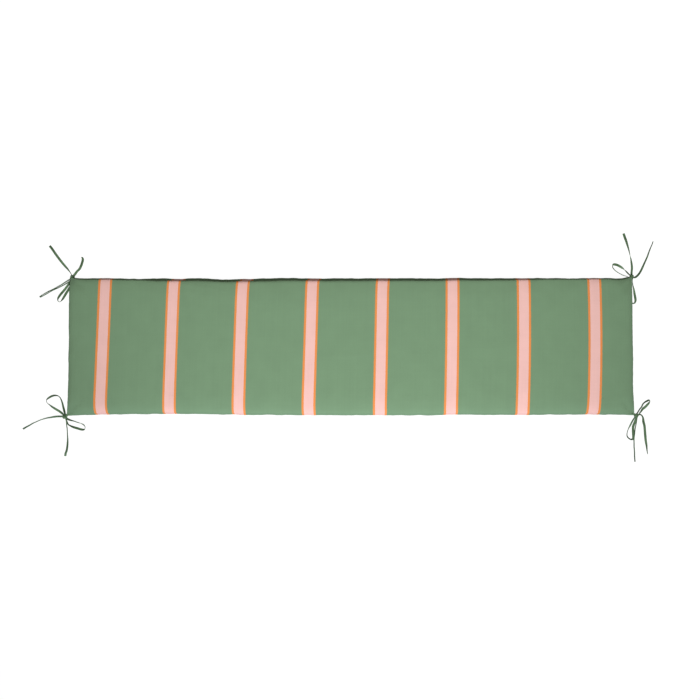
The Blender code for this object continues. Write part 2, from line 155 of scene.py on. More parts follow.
# The ties' routes, with the same points as the solids. knot is the knot's place, in mm from
# the bench's middle. A row is a point of a tape's middle line: east and north from the knot, its lift above
# lying on the surface, and its lean, from 0 for a tape that lies flat to 90 for one on its edge, and past 90
# where it leans over to the other side.
routeRow = ("east", "north", "lift", "lean")
ties = {
    "back_left": {
        "knot": {"along": -891, "across": 221, "height": 9.0, "turn": 35},
        "halves": {"a": ("loop_a", "end_b"), "b": ("loop_b", "end_a")},
        "loop_a": [
            (-3, 0, 5, 60),
            (-9, -7, 5, 48),
            (-19, -13, 3, 42),
            (-32, -21, 1, 60),
            (-46, -29, 0, 74),
            (-62, -38, 0, 82),
            (-79, -46, 0, 88),
            (-93, -54, 0, 90),
            (-102, -60, 0, 90),
            (-105, -62, 0, 90),
            (-103, -64, 0, 90),
            (-92, -58, 0, 90),
            (-78, -50, 0, 91),
            (-62, -41, 0, 94),
            (-45, -33, 0, 104),
            (-29, -25, 1, 122),
            (-15, -17, 3, 138),
            (-5, -9, 5, 120),
            (-2, -3, 5, 108),
        ],
        "loop_b": [
            (-3, -5, 3, 100),
            (-8, -15, 1, 118),
            (-16, -25, 0, 130),
            (-24, -36, 0, 134),
            (-33, -47, 0, 132),
            (-41, -57, 0, 126),
            (-46, -66, 0, 116),
            (-47, -74, 0, 100),
            (-43, -79, 0, 90),
            (-37, -77, 0, 82),
            (-32, -70, 0, 66),
            (-26, -59, 0, 54),
            (-19, -47, 0, 50),
            (-13, -37, 0, 58),
            (-7, -26, 0, 74),
            (-2, -11, 2, 82),
            (0, -4, 3, 84),
        ],
        "end_a": [
            (-2, 3, 4, 70),
            (-4, 9, 3, 82),
            (-10, 18, 1, 80),
            (-17, 27, 0, 66),
            (-27, 38, 0, 54),
            (-38, 51, 0, 44),
            (-49, 65, 0, 38),
            (-60, 80, 0, 34),
            (-69, 93, 0, 32),
            (-77, 103, 0, 30),
        ],
        "end_b": [
            (2, 3, 5, 130),
            (7, 10, 3, 136),
            (13, 19, 1, 128),
            (21, 28, 0, 134),
            (26, 39, 0, 140),
            (29, 49, 0, 142),
            (31, 57, 0, 136),
            (30, 63, 0, 120),
            (27, 66, 0, 104),
        ],
    },
    "back_right": {
        "knot": {"along": 903, "across": 222, "height": 9.0, "turn": -35},
        "halves": {"a": ("loop_a", "end_b"), "b": ("loop_b", "end_a")},
        "loop_a": [
            (-3, 4, 5, 104),
            (-9, 10, 3, 112),
            (-15, 17, 1, 114),
            (-23, 25, 0, 92),
            (-33, 33, 0, 58),
            (-43, 39, 0, 46),
            (-50, 41, 0, 50),
            (-57, 41, 0, 64),
            (-60, 38, 0, 82),
            (-59, 31, 0, 86),
            (-54, 24, 0, 86),
            (-46, 17, 0, 87),
            (-36, 11, 0, 87),
            (-26, 6, 1, 86),
            (-15, 2, 3, 84),
            (-6, -1, 5, 80),
        ],
        "loop_b": [
            (3, -3, 3, 84),
            (4, -14, 1, 84),
            (5, -27, 0, 78),
            (8, -40, 0, 68),
            (10, -53, 0, 60),
            (12, -64, 0, 56),
            (13, -73, 0, 58),
            (11, -81, 0, 70),
            (6, -85, 0, 82),
            (2, -84, 0, 90),
            (0, -77, 0, 92),
            (0, -63, 0, 92),
            (0, -43, 0, 92),
            (1, -24, 0, 92),
            (-1, -8, 3, 90),
            (0, -3, 3, 88),
        ],
        "end_a": [
            (0, 5, 5, 130),
            (1, 16, 3, 132),
            (3, 30, 1, 134),
            (2, 44, 0, 128),
            (0, 58, 0, 114),
            (-3, 71, 0, 96),
            (-6, 86, 0, 84),
            (-10, 101, 0, 72),
            (-14, 116, 0, 58),
            (-18, 129, 0, 42),
            (-22, 142, 0, 30),
        ],
        "end_b": [
            (4, -1, 4, 50),
            (12, -1, 3, 44),
            (20, 5, 1, 46),
            (28, 15, 0, 50),
            (35, 28, 0, 54),
            (41, 41, 0, 60),
            (47, 54, 0, 66),
            (53, 67, 0, 72),
            (58, 81, 0, 78),
            (64, 96, 0, 83),
            (69, 107, 0, 86),
            (72, 116, 0, 88),
        ],
    },
    "front_left": {
        "knot": {"along": -908, "across": -226, "height": 9.0, "turn": 55},
        "halves": {"a": ("loop_a", "end_b"), "b": ("loop_b", "end_a")},
        "loop_a": [
            (-3, 5, 5, 62),
            (-10, 11, 3, 48),
            (-20, 18, 1, 44),
            (-32, 25, 0, 48),
            (-43, 32, 0, 60),
            (-51, 38, 0, 76),
            (-58, 44, 0, 84),
            (-61, 50, 0, 82),
            (-59, 56, 0, 68),
            (-53, 61, 0, 54),
            (-44, 66, 0, 50),
            (-35, 68, 0, 62),
            (-26, 67, 0, 80),
            (-19, 63, 0, 88),
            (-14, 55, 0, 84),
            (-10, 44, 0, 74),
            (-7, 32, 0, 66),
            (-3, 19, 2, 62),
            (0, 8, 5, 70),
            (0, 3, 5, 72),
        ],
        "loop_b": [
            (4, -4, 3, 64),
            (10, -8, 2, 58),
            (18, -11, 1, 68),
            (29, -14, 0, 78),
            (40, -18, 0, 84),
            (50, -21, 0, 92),
            (58, -25, 0, 108),
            (63, -30, 0, 104),
            (64, -35, 0, 96),
            (62, -40, 0, 108),
            (56, -41, 0, 126),
            (47, -39, 0, 134),
            (37, -36, 0, 136),
            (27, -33, 0, 128),
            (18, -29, 0, 110),
            (11, -25, 1, 100),
            (7, -18, 2, 104),
            (4, -9, 4, 96),
            (1, -3, 4, 92),
        ],
        "end_a": [
            (-4, 1, 5, 52),
            (-13, 1, 3, 44),
            (-24, 1, 1, 44),
            (-35, 0, 0, 48),
            (-46, -2, 0, 56),
            (-58, -4, 0, 66),
            (-69, -7, 0, 76),
            (-81, -11, 0, 83),
            (-92, -16, 0, 83),
            (-103, -21, 0, 78),
            (-113, -27, 0, 70),
            (-124, -33, 0, 62),
            (-134, -39, 0, 54),
        ],
        "end_b": [
            (2, -5, 4, 86),
            (4, -14, 1, 86),
            (5, -26, 0, 87),
            (7, -40, 0, 87),
            (8, -55, 0, 84),
            (9, -69, 0, 74),
            (9, -82, 0, 60),
            (8, -96, 0, 46),
            (6, -108, 0, 38),
            (3, -117, 0, 34),
            (2, -125, 0, 30),
        ],
    },
    "front_right": {
        "knot": {"along": 911, "across": -223, "height": 9.0, "turn": -50},
        "halves": {"a": ("loop_a", "end_b"), "b": ("loop_b", "end_a")},
        "loop_a": [
            (-1, 3, 5, 80),
            (5, 12, 4, 84),
            (12, 22, 1, 84),
            (18, 29, 1, 81),
            (22, 37, 0, 80),
            (28, 43, 0, 76),
            (35, 47, 0, 68),
            (42, 50, 0, 66),
            (45, 47, 0, 80),
            (42, 41, 0, 60),
            (37, 35, 0, 44),
            (30, 28, 0, 38),
            (22, 22, 0, 42),
            (16, 15, 3, 60),
            (10, 8, 6, 68),
            (4, -1, 5, 72),
        ],
        "loop_b": [
            (-4, -3, 4, 64),
            (-9, -11, 3, 58),
            (-14, -20, 2, 54),
            (-19, -30, 1, 54),
            (-24, -39, 0, 68),
            (-28, -49, 0, 72),
            (-30, -59, 0, 68),
            (-29, -66, 1, 64),
            (-24, -72, 2, 66),
            (-18, -75, 3, 66),
            (-12, -73, 4, 60),
            (-11, -66, 4, 54),
            (-11, -55, 4, 44),
            (-11, -45, 4, 38),
            (-10, -33, 4, 36),
            (-5, -19, 5, 46),
            (-2, -9, 6, 60),
            (1, -3, 5, 68),
        ],
        "end_a": [
            (2, -5, 4, 100),
            (1, -15, 2, 100),
            (-1, -29, 0, 102),
            (-4, -43, 0, 106),
            (-6, -57, 0, 132),
            (-8, -71, 0, 160),
            (-8, -85, 0, 146),
            (-8, -99, 0, 136),
            (-7, -113, 0, 134),
            (-7, -129, 0, 142),
            (-6, -146, 0, 150),
        ],
        "end_b": [
            (5, 3, 5, 74),
            (12, 4, 3, 70),
            (18, 1, 2, 66),
            (22, -7, 1, 54),
            (24, -19, 0, 34),
            (27, -32, 0, 22),
            (28, -47, 0, 18),
            (29, -62, 0, 24),
            (30, -78, 0, 38),
            (32, -94, 0, 54),
            (33, -108, 0, 68),
            (35, -122, 0, 78),
        ],
    },
}

# how much further each length of tape has fallen over than the solids' lean, as a share of its way from upright
fallen = {
    "back_left": {"loop_a": -0.8, "loop_b": 1.4, "end_a": 0.8, "end_b": 0.3},
    "back_right": {"loop_a": 0.7, "loop_b": 1.5, "end_a": 0.6, "end_b": 0.1},
    "front_left": {"loop_a": 0.5, "loop_b": 0.4, "end_a": -0.1, "end_b": -0.2},
    "front_right": {"loop_a": 0.6, "loop_b": 0.2, "end_a": -0.85, "end_b": 0.6},
}


def makeTapeCloth():
    # cotton tape in the cover's green, dyed in the yarn, with no gloss: its folded layers make it look darker
    # and denser than the cover, and its threads run lengthwise
    material, tree, shader = newMaterial("foldedCottonTape")
    place = addNode(tree, "ShaderNodeAttribute", attribute_name="tapeRun").outputs["Vector"]
    # threads 0.5 mm apart, drawn 0.9 mm apart so that they show
    threads = addNode(tree, "ShaderNodeMapping", {"Vector": place, "Scale": (1 / 0.9, 1 / 0.9, 0)})
    split = addNode(tree, "ShaderNodeSeparateXYZ", {0: threads.outputs[0]})
    waves = []
    for side in (0, 1):
        turn = addNode(tree, "ShaderNodeMath", {0: split.outputs[side], 1: math.pi}, operation="MULTIPLY")
        waves.append(addNode(tree, "ShaderNodeMath", {0: turn.outputs[0]}, operation="SINE").outputs[0])
    weave = addNode(tree, "ShaderNodeMath", {0: waves[0], 1: waves[1]}, operation="MULTIPLY").outputs[0]
    # thicker and thinner yarns run 40 mm along it and 1 mm across, and the dye takes in patches of 14 to 30 mm
    streakPlace = addNode(tree, "ShaderNodeMapping", {"Vector": place, "Scale": (1 / 40, 1 / 1.1, 0)})
    streak = addNode(tree, "ShaderNodeTexNoise", {"Vector": streakPlace.outputs[0], "Scale": 1.0, "Detail": 3.0})
    patchPlace = addNode(tree, "ShaderNodeMapping", {"Vector": place, "Scale": (1 / 30, 1 / 14, 0)})
    patch = addNode(tree, "ShaderNodeTexNoise", {"Vector": patchPlace.outputs[0], "Scale": 1.0, "Detail": 2.0})
    wide = addNode(tree, "ShaderNodeMath", {0: patch.outputs[0], 1: 1.4}, operation="MULTIPLY")
    both = addNode(
        tree, "ShaderNodeMath", {0: streak.outputs[0], 1: 0.6, 2: wide.outputs[0]}, operation="MULTIPLY_ADD"
    )
    tone = addNode(tree, "ShaderNodeMapRange", {"Value": both.outputs[0], 1: 0.7, 2: 1.3, 3: 0.0, 4: 1.0})
    colour = addNode(
        tree,
        "ShaderNodeMix",
        {0: tone.outputs[0], 6: toLinear("#425a3b"), 7: toLinear("#769670")},
        data_type="RGBA",
    )
    tree.links.new(colour.outputs[2], shader.inputs["Base Color"])
    shader.inputs["Roughness"].default_value = 0.86
    shader.inputs["Specular IOR Level"].default_value = 0.25
    shader.inputs["Sheen Weight"].default_value = 0.08
    shader.inputs["Sheen Roughness"].default_value = 0.5
    bump = addNode(tree, "ShaderNodeBump", {"Height": weave, "Strength": 0.5, "Distance": 0.00012})
    tree.links.new(bump.outputs[0], shader.inputs["Normal"])
    return material


def makeThread():
    # spun polyester sewing thread in the same green: finer than the cloth's yarns and a little glossier
    material, tree, shader = newMaterial("polyesterSewingThread")
    place = addNode(tree, "ShaderNodeTexCoord").outputs["Object"]
    # the thread's twist, 0.3 mm a turn, painted into the colour as lighter and darker bands: painted light and
    # shade on the twisted plies
    twistLightAndShade = addNode(
        tree,
        "ShaderNodeTexWave",
        {"Vector": place, "Scale": 3300.0, "Distortion": 1.0},
        bands_direction="DIAGONAL",
    )
    colour = addNode(
        tree,
        "ShaderNodeMix",
        {0: twistLightAndShade.outputs["Fac"], 6: toLinear("#52704b"), 7: toLinear("#738f67")},
        data_type="RGBA",
    )
    tree.links.new(colour.outputs[2], shader.inputs["Base Color"])
    shader.inputs["Roughness"].default_value = 0.55
    return material


def restingHeight(lean):
    # how high the middle of a tape lies when it rests on the surface at a lean
    tall = tape["width"] * abs(math.sin(lean)) + tape["thickness"] * abs(math.cos(lean))
    return tall / 2 + tape["surfaceGap"]


def routePoints(corner, route, knot):
    # a route's own points, each a Vector of its place, with its lift for the height, and its lean
    points = []
    for values in ties[corner][route]:
        row = dict(zip(routeRow, values))
        across = (knot.x + row["east"] * mm, knot.y + row["north"] * mm)
        fromUpright = (90 - row["lean"]) * (1 + fallen[corner][route])
        lean = 90 - max(-90, min(90, fromUpright))
        points.append(Vector((*across, row["lift"] * mm, math.radians(lean))))
    return points


def stemPoints(tip, root, knot, layer):
    # the tape's way out of the seam to the knot, with the lift that holds it at its height
    lean = math.radians(tape["stemLean"])
    points = []
    for place in (root, tip.lerp(knot, 0.5)):
        lift = place.z + layer - restingHeight(lean)
        points.append(Vector((place.x, place.y, lift, lean)))
    return points


def smoothRoute(points):
    # close points of the smooth curve through a route's own points
    ends = [points[0] * 2 - points[1]] + points + [points[-1] * 2 - points[-2]]
    close = []
    for before, start, end, after in zip(ends, ends[1:], ends[2:], ends[3:]):
        for i in range(tape["routePieces"]):
            t = i / tape["routePieces"]
            bent = (2 * before - 5 * start + 4 * end - after) * t * t
            eased = (3 * start - before - 3 * end + after) * t**3
            close.append((2 * start + (end - before) * t + bent + eased) / 2)
    return close + [points[-1]]


def evenSteps(close, step):
    # the same route with its points evenly spaced
    run = [0.0]
    for before, point in zip(close, close[1:]):
        run.append(run[-1] + (point.xyz - before.xyz).length)
    count = max(2, round(run[-1] / step))
    even, i = [], 0
    for k in range(count + 1):
        at = run[-1] * k / count
        while i < len(run) - 2 and run[i + 1] < at:
            i += 1
        share = (at - run[i]) / max(run[i + 1] - run[i], 1e-9)
        even.append(close[i].lerp(close[i + 1], min(1.0, share)))
    return even


def laidDown(points, seed):
    # the tape's lean strays a little along its way, and it rests on its lowest edge
    laid = []
    travelled = 0.0
    for k, point in enumerate(points):
        if k:
            travelled += (point.xy - points[k - 1].xy).length
        off = noise.noise(Vector((travelled / tape["strayLength"], seed, 3.3)))
        lean = point.w + off * math.radians(tape["wander"])
        laid.append(Vector((point.x, point.y, point.z + restingHeight(lean), lean)))
    return laid


def tapeFrames(points):
    # at each point: its place, the direction of the tape's width, and the direction through its thickness
    frames = []
    for k, point in enumerate(points):
        before, after = points[max(k - 1, 0)], points[min(k + 1, len(points) - 1)]
        heading = (after.xyz - before.xyz).normalized()
        side = heading.cross(Vector((0, 0, 1))).normalized()
        upward = side.cross(heading)
        width = side * math.cos(point.w) + upward * math.sin(point.w)
        frames.append((point.xyz, width, width.cross(heading)))
    return frames


def outlineRing(form, section):
    # a section's outline as a closed ring round both faces of the tape, which keeps each corner's place on it
    places = [(row["across"], row["through"]) for row in section]
    places += [(across, -through) for across, through in reversed(places[1:-1])]
    run = form.verts.layers.float_vector["tapeRun"]
    ring = bmesh.ops.create_circle(form, segments=len(places), radius=1.0)["verts"]
    for vertex, (across, through) in zip(ring, places):
        vertex[run] = Vector((0.0, across, through))
    return ring


def extrudeRings(form, ring, count):
    # the ring extruded on and on: one ring for each cross-section, to be set in place
    rings = [ring]
    edges = list({edge for vertex in ring for edge in vertex.link_edges})
    for _ in range(count - 1):
        grown = bmesh.ops.extrude_edge_only(form, edges=edges)["geom"]
        ring = [item for item in grown if isinstance(item, bmesh.types.BMVert)]
        inRing = set(ring)
        edges = [e for e in grown if isinstance(e, bmesh.types.BMEdge) and inRing.issuperset(e.verts)]
        rings.append(ring)
    return rings


def closeEnd(form, ring):
    inRing = set(ring)
    around = {edge for vertex in ring for edge in vertex.link_edges if inRing.issuperset(edge.verts)}
    bmesh.ops.contextual_create(form, geom=list(around))


def makeTape(name, points, seed, material):
    # one half of a tie: the tape's section swept along its points, with its ends folded in and closed
    form = bmesh.new()
    run = form.verts.layers.float_vector.new("tapeRun")
    rings = extrudeRings(form, outlineRing(form, tapeSection), len(points))
    half = tape["width"] / 2
    travelled = 0.0
    for k, (place, width, through) in enumerate(tapeFrames(points)):
        if k:
            travelled += (points[k].xyz - points[k - 1].xyz).length
        curl = tape["curl"] * noise.noise(Vector((travelled / tape["strayLength"] * 1.3, seed, 0.0)))
        fromEnd = (len(points) - 1 - k) * tape["step"]
        thin = min(1.0, tape["endThin"] + fromEnd / tape["endTuck"])
        for vertex in rings[k]:
            across, deep = vertex[run].y * mm, vertex[run].z * mm
            bow = curl * ((across / half) ** 2 - 0.35)
            vertex.co = place + width * across + through * (deep * thin + bow)
            vertex[run] = Vector((travelled / mm, across / mm, deep / mm))
    closeEnd(form, rings[0])
    closeEnd(form, rings[-1])
    bmesh.ops.recalc_face_normals(form, faces=form.faces)
    return meshObject(name, form, [material])


def makeStitches(name, points, material):
    # the line of stitching along the closed edge, which shows on both faces
    form = bmesh.new()
    frames = tapeFrames(points)
    every = stitch["every"] / tape["step"]
    for k in range(1, int((len(points) - 3) / every)):
        at = k * every + 0.5
        place, width, through = frames[int(at)]
        nextPlace = frames[int(at) + 1][0]
        heading = (nextPlace - place).normalized()
        turn = Matrix((heading, width, through)).transposed().to_4x4()
        size = Matrix.Diagonal((stitch["long"], stitch["wide"], stitch["wide"], 1))
        for face in (1, -1):
            offset = width * stitch["across"] + through * stitch["raised"] * face
            stand = Matrix.Translation(place.lerp(nextPlace, at % 1) + offset)
            bmesh.ops.create_icosphere(form, subdivisions=1, radius=0.5, matrix=stand @ turn @ size)
    return meshObject(name, form, [material])


# The cover is a top and a back panel, seamed all round the cushion's edge, and closed over soft filling.
cover = {
    "alongSteps": (3, 6.5, 11, 16, 22, 29),  # its first rows in from a side, in mm, and then even spans
    "alongSpans": 194,
    "acrossSteps": (3, 6.5, 11, 16, 22, 30, 40),
    "acrossSpans": 27,
    "seamLevel": 7,  # which row of the edge's section is the seam
    "seamCrease": 0.85,
    "edgeReach": 66 * mm,  # the rolled edge's inset has faded out by here
    "cornerFlatness": 0.72,
    "cornerSquaring": 0.5,
    "cornerHeight": 13 * mm,
    "cornerReach": 20 * mm,
    "cornerLift": 6.5 * mm,
    "cornerLiftReach": 45 * mm,
    "backPanelRun": 0.11,  # how much of the back panel's cloth runs up round the sides
}

edgeSection = [  # the rolled edge from the bench up: its height, and its inset at the back, front and ends, in mm
    {"height": 0.0, "back": 17.0, "front": 17.0, "end": 17.0},
    {"height": 0.9, "back": 9.6, "front": 9.6, "end": 9.6},
    {"height": 3.2, "back": 4.2, "front": 4.2, "end": 4.2},
    {"height": 6.4, "back": 1.0, "front": 1.0, "end": 1.0},
    {"height": 10.0, "back": 0.0, "front": 0.0, "end": 0.0},
    {"height": 13.8, "back": 1.3, "front": 0.9, "end": 0.9},
    {"height": 17.2, "back": 5.0, "front": 3.2, "end": 3.2},
    {"height": 20.0, "back": 12.0, "front": 8.0, "end": 8.0},
    {"height": 22.4, "back": 9.4, "front": 4.6, "end": 4.6},
    {"height": 25.6, "back": 8.0, "front": 2.9, "end": 2.9},
    {"height": 29.2, "back": 7.9, "front": 2.8, "end": 2.8},
    {"height": 32.8, "back": 8.9, "front": 4.6, "end": 4.6},
    {"height": 35.8, "back": 11.2, "front": 8.0, "end": 8.0},
]

# the cover's sides before they are drawn in, in mm, and how far each is drawn in along its way; backRoll is how
# far the upper roll stands in from the lower one at the back, as a share
outline = {"left": -901.2, "right": 904.1, "back": 219.2, "front": -222.0}

topFall = {  # how far the top falls towards each edge, over a short and a long reach, in mm
    "back": {"edge": 3.6, "edgeReach": 4.5, "crown": 2.2, "crownReach": 60},
    "front": {"edge": 4.2, "edgeReach": 10, "crown": 3.4, "crownReach": 52},
    "left": {"edge": 3.8, "edgeReach": 7, "crown": 2.4, "crownReach": 60},
    "right": {"edge": 3.8, "edgeReach": 7, "crown": 2.8, "crownReach": 56},
}

drawnInSides = [
    {"at": -900, "back": 0.0, "front": 0.4, "backRoll": 0.60},
    {"at": -845, "back": 1.2, "front": 0.9, "backRoll": 0.60},
    {"at": -780, "back": 0.9, "front": 2.3, "backRoll": 0.60},
    {"at": -680, "back": 2.9, "front": 3.7, "backRoll": 0.60},
    {"at": -610, "back": 1.7, "front": 4.2, "backRoll": 0.95},
    {"at": -555, "back": 2.5, "front": 4.5, "backRoll": 0.90},
    {"at": -500, "back": 1.0, "front": 4.2, "backRoll": 0.95},
    {"at": -390, "back": 4.3, "front": 2.6, "backRoll": 0.95},
    {"at": -331, "back": 3.4, "front": 1.3, "backRoll": 1.00},
    {"at": -270, "back": 1.2, "front": 1.5, "backRoll": 1.05},
    {"at": -210, "back": 0.1, "front": 0.7, "backRoll": 1.00},
    {"at": -90, "back": 1.4, "front": 0.5, "backRoll": 0.97},
    {"at": 10, "back": 0.6, "front": 0.0, "backRoll": 0.97},
    {"at": 230, "back": 1.3, "front": 0.3, "backRoll": 0.90},
    {"at": 360, "back": 0.3, "front": 2.4, "backRoll": 0.86},
    {"at": 470, "back": 1.1, "front": 1.1, "backRoll": 0.80},
    {"at": 590, "back": 0.2, "front": 1.2, "backRoll": 0.70},
    {"at": 640, "back": 0.7, "front": 2.0, "backRoll": 0.55},
    {"at": 700, "back": 1.2, "front": 2.8, "backRoll": 0.52},
    {"at": 820, "back": 0.0, "front": 2.2, "backRoll": 0.55},
    {"at": 864, "back": 1.8, "front": 1.7, "backRoll": 0.65},
    {"at": 895, "back": -0.6, "front": 1.2, "backRoll": 0.70},
]

drawnInEnds = [
    {"at": -221, "left": 0.5, "right": 0.2},
    {"at": -190, "left": 1.0, "right": 0.2},
    {"at": -150, "left": 1.3, "right": 1.8},
    {"at": -110, "left": 1.9, "right": 2.0},
    {"at": -70, "left": 2.4, "right": 1.4},
    {"at": -30, "left": 1.0, "right": 1.1},
    {"at": 5, "left": 1.7, "right": 1.0},
    {"at": 80, "left": 0.7, "right": 0.0},
    {"at": 160, "left": 0.0, "right": 0.4},
    {"at": 218, "left": 0.0, "right": 0.4},
]

lumps = [  # of filling under the top, in mm
    {"along": -700, "across": 60, "reach": 150, "rise": -1.2},
    {"along": -470, "across": -50, "reach": 170, "rise": 1.4},
    {"along": -180, "across": 70, "reach": 160, "rise": -1.0},
    {"along": 120, "across": 110, "reach": 120, "rise": -1.4},
    {"along": 260, "across": -60, "reach": 170, "rise": 1.2},
    {"along": 560, "across": 60, "reach": 150, "rise": -1.2},
    {"along": 740, "across": -70, "reach": 140, "rise": 1.0},
]

ears = {  # where each corner is, how far its tie pulls it along and across, and over what reach, in mm
    "back_left": {"sides": ("left", "back"), "pull": (5.0, 3.5), "reach": 15},
    "back_right": {"sides": ("right", "back"), "pull": (1.5, 4.5), "reach": 24},
    "front_left": {"sides": ("left", "front"), "pull": (-2.0, -2.0), "reach": 30},
    "front_right": {"sides": ("right", "front"), "pull": (1.0, -1.0), "reach": 24},
}

# The stripes run across the bench, a little aslant. A row gives where a stripe's middle is on the top, how much
# it slants, how far its ends bow to the left, how far it hooks to the right in the last way to the front and to
# the back edge, and how far the back panel's stripe lies off it at the back edge, all in mm.
stripeRow = ("at", "slant", "bow", "hookFront", "hookBack", "offBack")
stripes = {
    "repeat": 224.6 * mm,
    "pink": 30.6 * mm,
    "edge": 6.7 * mm,
    "bowAt": 190 * mm,
    "hookFrom": {"front": -214 * mm, "back": 210 * mm},
    "hookReach": 13 * mm,
    "rows": [
        (-784.6, 0.0285, 0.6, 4.2, 0.0, 0.0),
        (-568.2, 0.0266, -0.2, 1.0, 1.5, 12.0),
        (-349.0, 0.0276, -0.5, 1.4, 2.5, 9.5),
        (-126.7, 0.0290, 0.2, 2.0, 1.5, 4.5),
        (98.1, 0.0224, 0.1, 1.0, 2.0, 1.0),
        (323.2, 0.0180, 1.2, 1.3, 0.6, 1.0),
        (551.0, 0.0186, 2.2, 1.2, 0.0, -1.3),
        (777.1, 0.0160, 3.0, -1.2, 0.6, 0.0),
    ],
}

puckers = {  # the cloth gathers a little where it is sewn
    "along": 17 * mm,  # from one gather of the seam to the next
    "depth": 0.8 * mm,
    "reach": 7 * mm,  # from the seam to where they are deepest
    "waveAlong": 75 * mm,  # the slower waves of the filled edge
    "waveDepth": 0.9 * mm,
    "waveReach": 26 * mm,
}

creases = [  # soft folds of the top: from where to where, how wide they are and how high they stand, in mm
    {"from": (-530, 196), "to": (-455, 182), "wide": 7, "rise": 0.6},
    {"from": (-462, 188), "to": (-398, 172), "wide": 6, "rise": 0.5},
    {"from": (-96, -34), "to": (78, -30), "wide": 7, "rise": 0.5},
    {"from": (176, 150), "to": (170, -170), "wide": 9, "rise": 0.35},
    {"from": (236, 120), "to": (243, -180), "wide": 10, "rise": 0.35},
    {"from": (412, -40), "to": (446, -132), "wide": 10, "rise": 0.8},
    {"from": (598, 206), "to": (668, 142), "wide": 15, "rise": -0.9},
    {"from": (852, 196), "to": (884, 150), "wide": 12, "rise": 0.8},
    {"from": (-846, -190), "to": (-872, -150), "wide": 12, "rise": 0.7},
    {"from": (842, -188), "to": (872, -150), "wide": 11, "rise": 0.7},
    {"from": (895, -219), "to": (905, -205), "wide": 2.2, "rise": -3.6, "toSeam": True},
]

settling = {  # the cover is a little larger than its filling, and settles over it
    "frames": 20,
    "pressure": 4.0,
    "slack": 0.012,
    "mostMove": 2.4 * mm,
    "mostMoveAtSides": 0.9 * mm,
}


def eased(share):
    return share * share * (3 - 2 * share)


def drawAt(table, place, side):
    for low, high in zip(table, table[1:]):
        if place <= high["at"]:
            share = max(0.0, (place - low["at"]) / (high["at"] - low["at"]))
            return (low[side] + (high[side] - low[side]) * eased(share)) * mm
    return table[-1][side] * mm


def gradedPlaces(low, high, steps, spans):
    # places between two sides: close together near both, then even
    start, end = low + steps[-1], high - steps[-1]
    even = [start + (end - start) * i / spans for i in range(spans + 1)]
    near = [low + step for step in (0, *steps[:-1])] + [high - step for step in (0, *steps[:-1])]
    return [place * mm for place in sorted(near + even)]


def sidesNear(x, y):
    # the end and the side that a point is nearer to, and how far it is from each
    end, side = "right" if x > 0 else "left", "back" if y > 0 else "front"
    return end, side, abs(outline[end] * mm - x), abs(outline[side] * mm - y)


def fullness(side, fromSide, roll=1.0):
    fall = topFall[side]
    drop = fall["edge"] * roll * math.exp(-fromSide / mm / fall["edgeReach"])
    drop += fall["crown"] * math.exp(-fromSide / mm / fall["crownReach"])
    return 1 - drop / (cushionHigh.z / mm - edgeSection[cover["seamLevel"]]["height"])


def lumpRise(x, y):
    rise = 0.0
    for lump in lumps:
        away = math.hypot(x - lump["along"] * mm, y - lump["across"] * mm) / (lump["reach"] * mm)
        rise += lump["rise"] * mm * math.exp(-away * away)
    return rise


def coverPlace(x, y, level):
    # where a point of the plain grid goes on the filled cushion
    row = edgeSection[level]
    end, side, fromEnd, fromSide = sidesNear(x, y)
    corner = math.exp(-(fromEnd + fromSide) / cover["cornerReach"])

    # the roll of the edge, and the sides drawn in between the corners
    fadeEnd = max(0.0, 1 - fromEnd / cover["edgeReach"])
    fadeSide = max(0.0, 1 - fromSide / cover["edgeReach"])
    kept = mm * (1 - cover["cornerSquaring"] * corner)
    shareX, shareY = x / mm / outline[end], y / mm / outline[side]
    insetX = row["end"] * kept * fadeEnd + drawAt(drawnInEnds, y / mm, end) * shareX**3
    roll = drawAt(drawnInSides, x / mm, "backRoll") / mm if side == "back" and level > 5 else 1.0
    insetY = row[side] * roll * kept * fadeSide + drawAt(drawnInSides, x / mm, side) * shareY**3
    movedX = x - math.copysign(insetX, x)
    movedY = y - math.copysign(insetY, y)

    # the crown, and the corners where both panels close together off the bench
    seam = edgeSection[cover["seamLevel"]]["height"] * mm
    height = row["height"] * mm
    if level == len(edgeSection) - 1:
        full = fullness(end, fromEnd) * fullness(side, fromSide, roll)
        height = seam + (cushionHigh.z - seam) * full + lumpRise(x, y) * full**4
    if level == 0:
        share = max(0.0, 1 - (fromEnd + fromSide) / cover["cornerLiftReach"])
        height = cover["cornerLift"] * share * share
    else:
        height += (cover["cornerHeight"] - height) * cover["cornerFlatness"] * corner

    for ear in ears.values():
        if ear["sides"] != (end, side):
            continue
        pull = math.exp(-((math.hypot(fromEnd, fromSide) / (ear["reach"] * mm)) ** 2))
        movedX += ear["pull"][0] * mm * pull
        movedY += ear["pull"][1] * mm * pull
    return Vector((movedX, movedY, height))


def stripeMiddle(values, y, backPanel):
    row = dict(zip(stripeRow, values))
    toFront = math.exp(-max(0.0, y - stripes["hookFrom"]["front"]) / stripes["hookReach"])
    toBack = math.exp(-max(0.0, stripes["hookFrom"]["back"] - y) / stripes["hookReach"])
    off = -row["bow"] * (y / stripes["bowAt"]) ** 2
    if backPanel:
        across = min(1.0, max(0.0, 0.5 + y / (cushionHigh.y - cushionLow.y)))
        off += row["hookFront"] * (1 - across) + (row["hookBack"] + row["offBack"]) * across
    else:
        off += row["hookFront"] * toFront + row["hookBack"] * toBack
    return (row["at"] + off) * mm + row["slant"] * y


def stripeRun(x, y, backPanel):
    # how far along the cloth a point is, counted so that every stripe's middle is a whole number of repeats
    middles = [stripeMiddle(row, y, backPanel) for row in stripes["rows"]]
    if x < middles[0]:
        return x - middles[0]
    if x > middles[-1]:
        return (len(middles) - 1) * stripes["repeat"] + x - middles[-1]
    n = max(k for k in range(len(middles) - 1) if x >= middles[k])
    return (n + (x - middles[n]) / (middles[n + 1] - middles[n])) * stripes["repeat"]


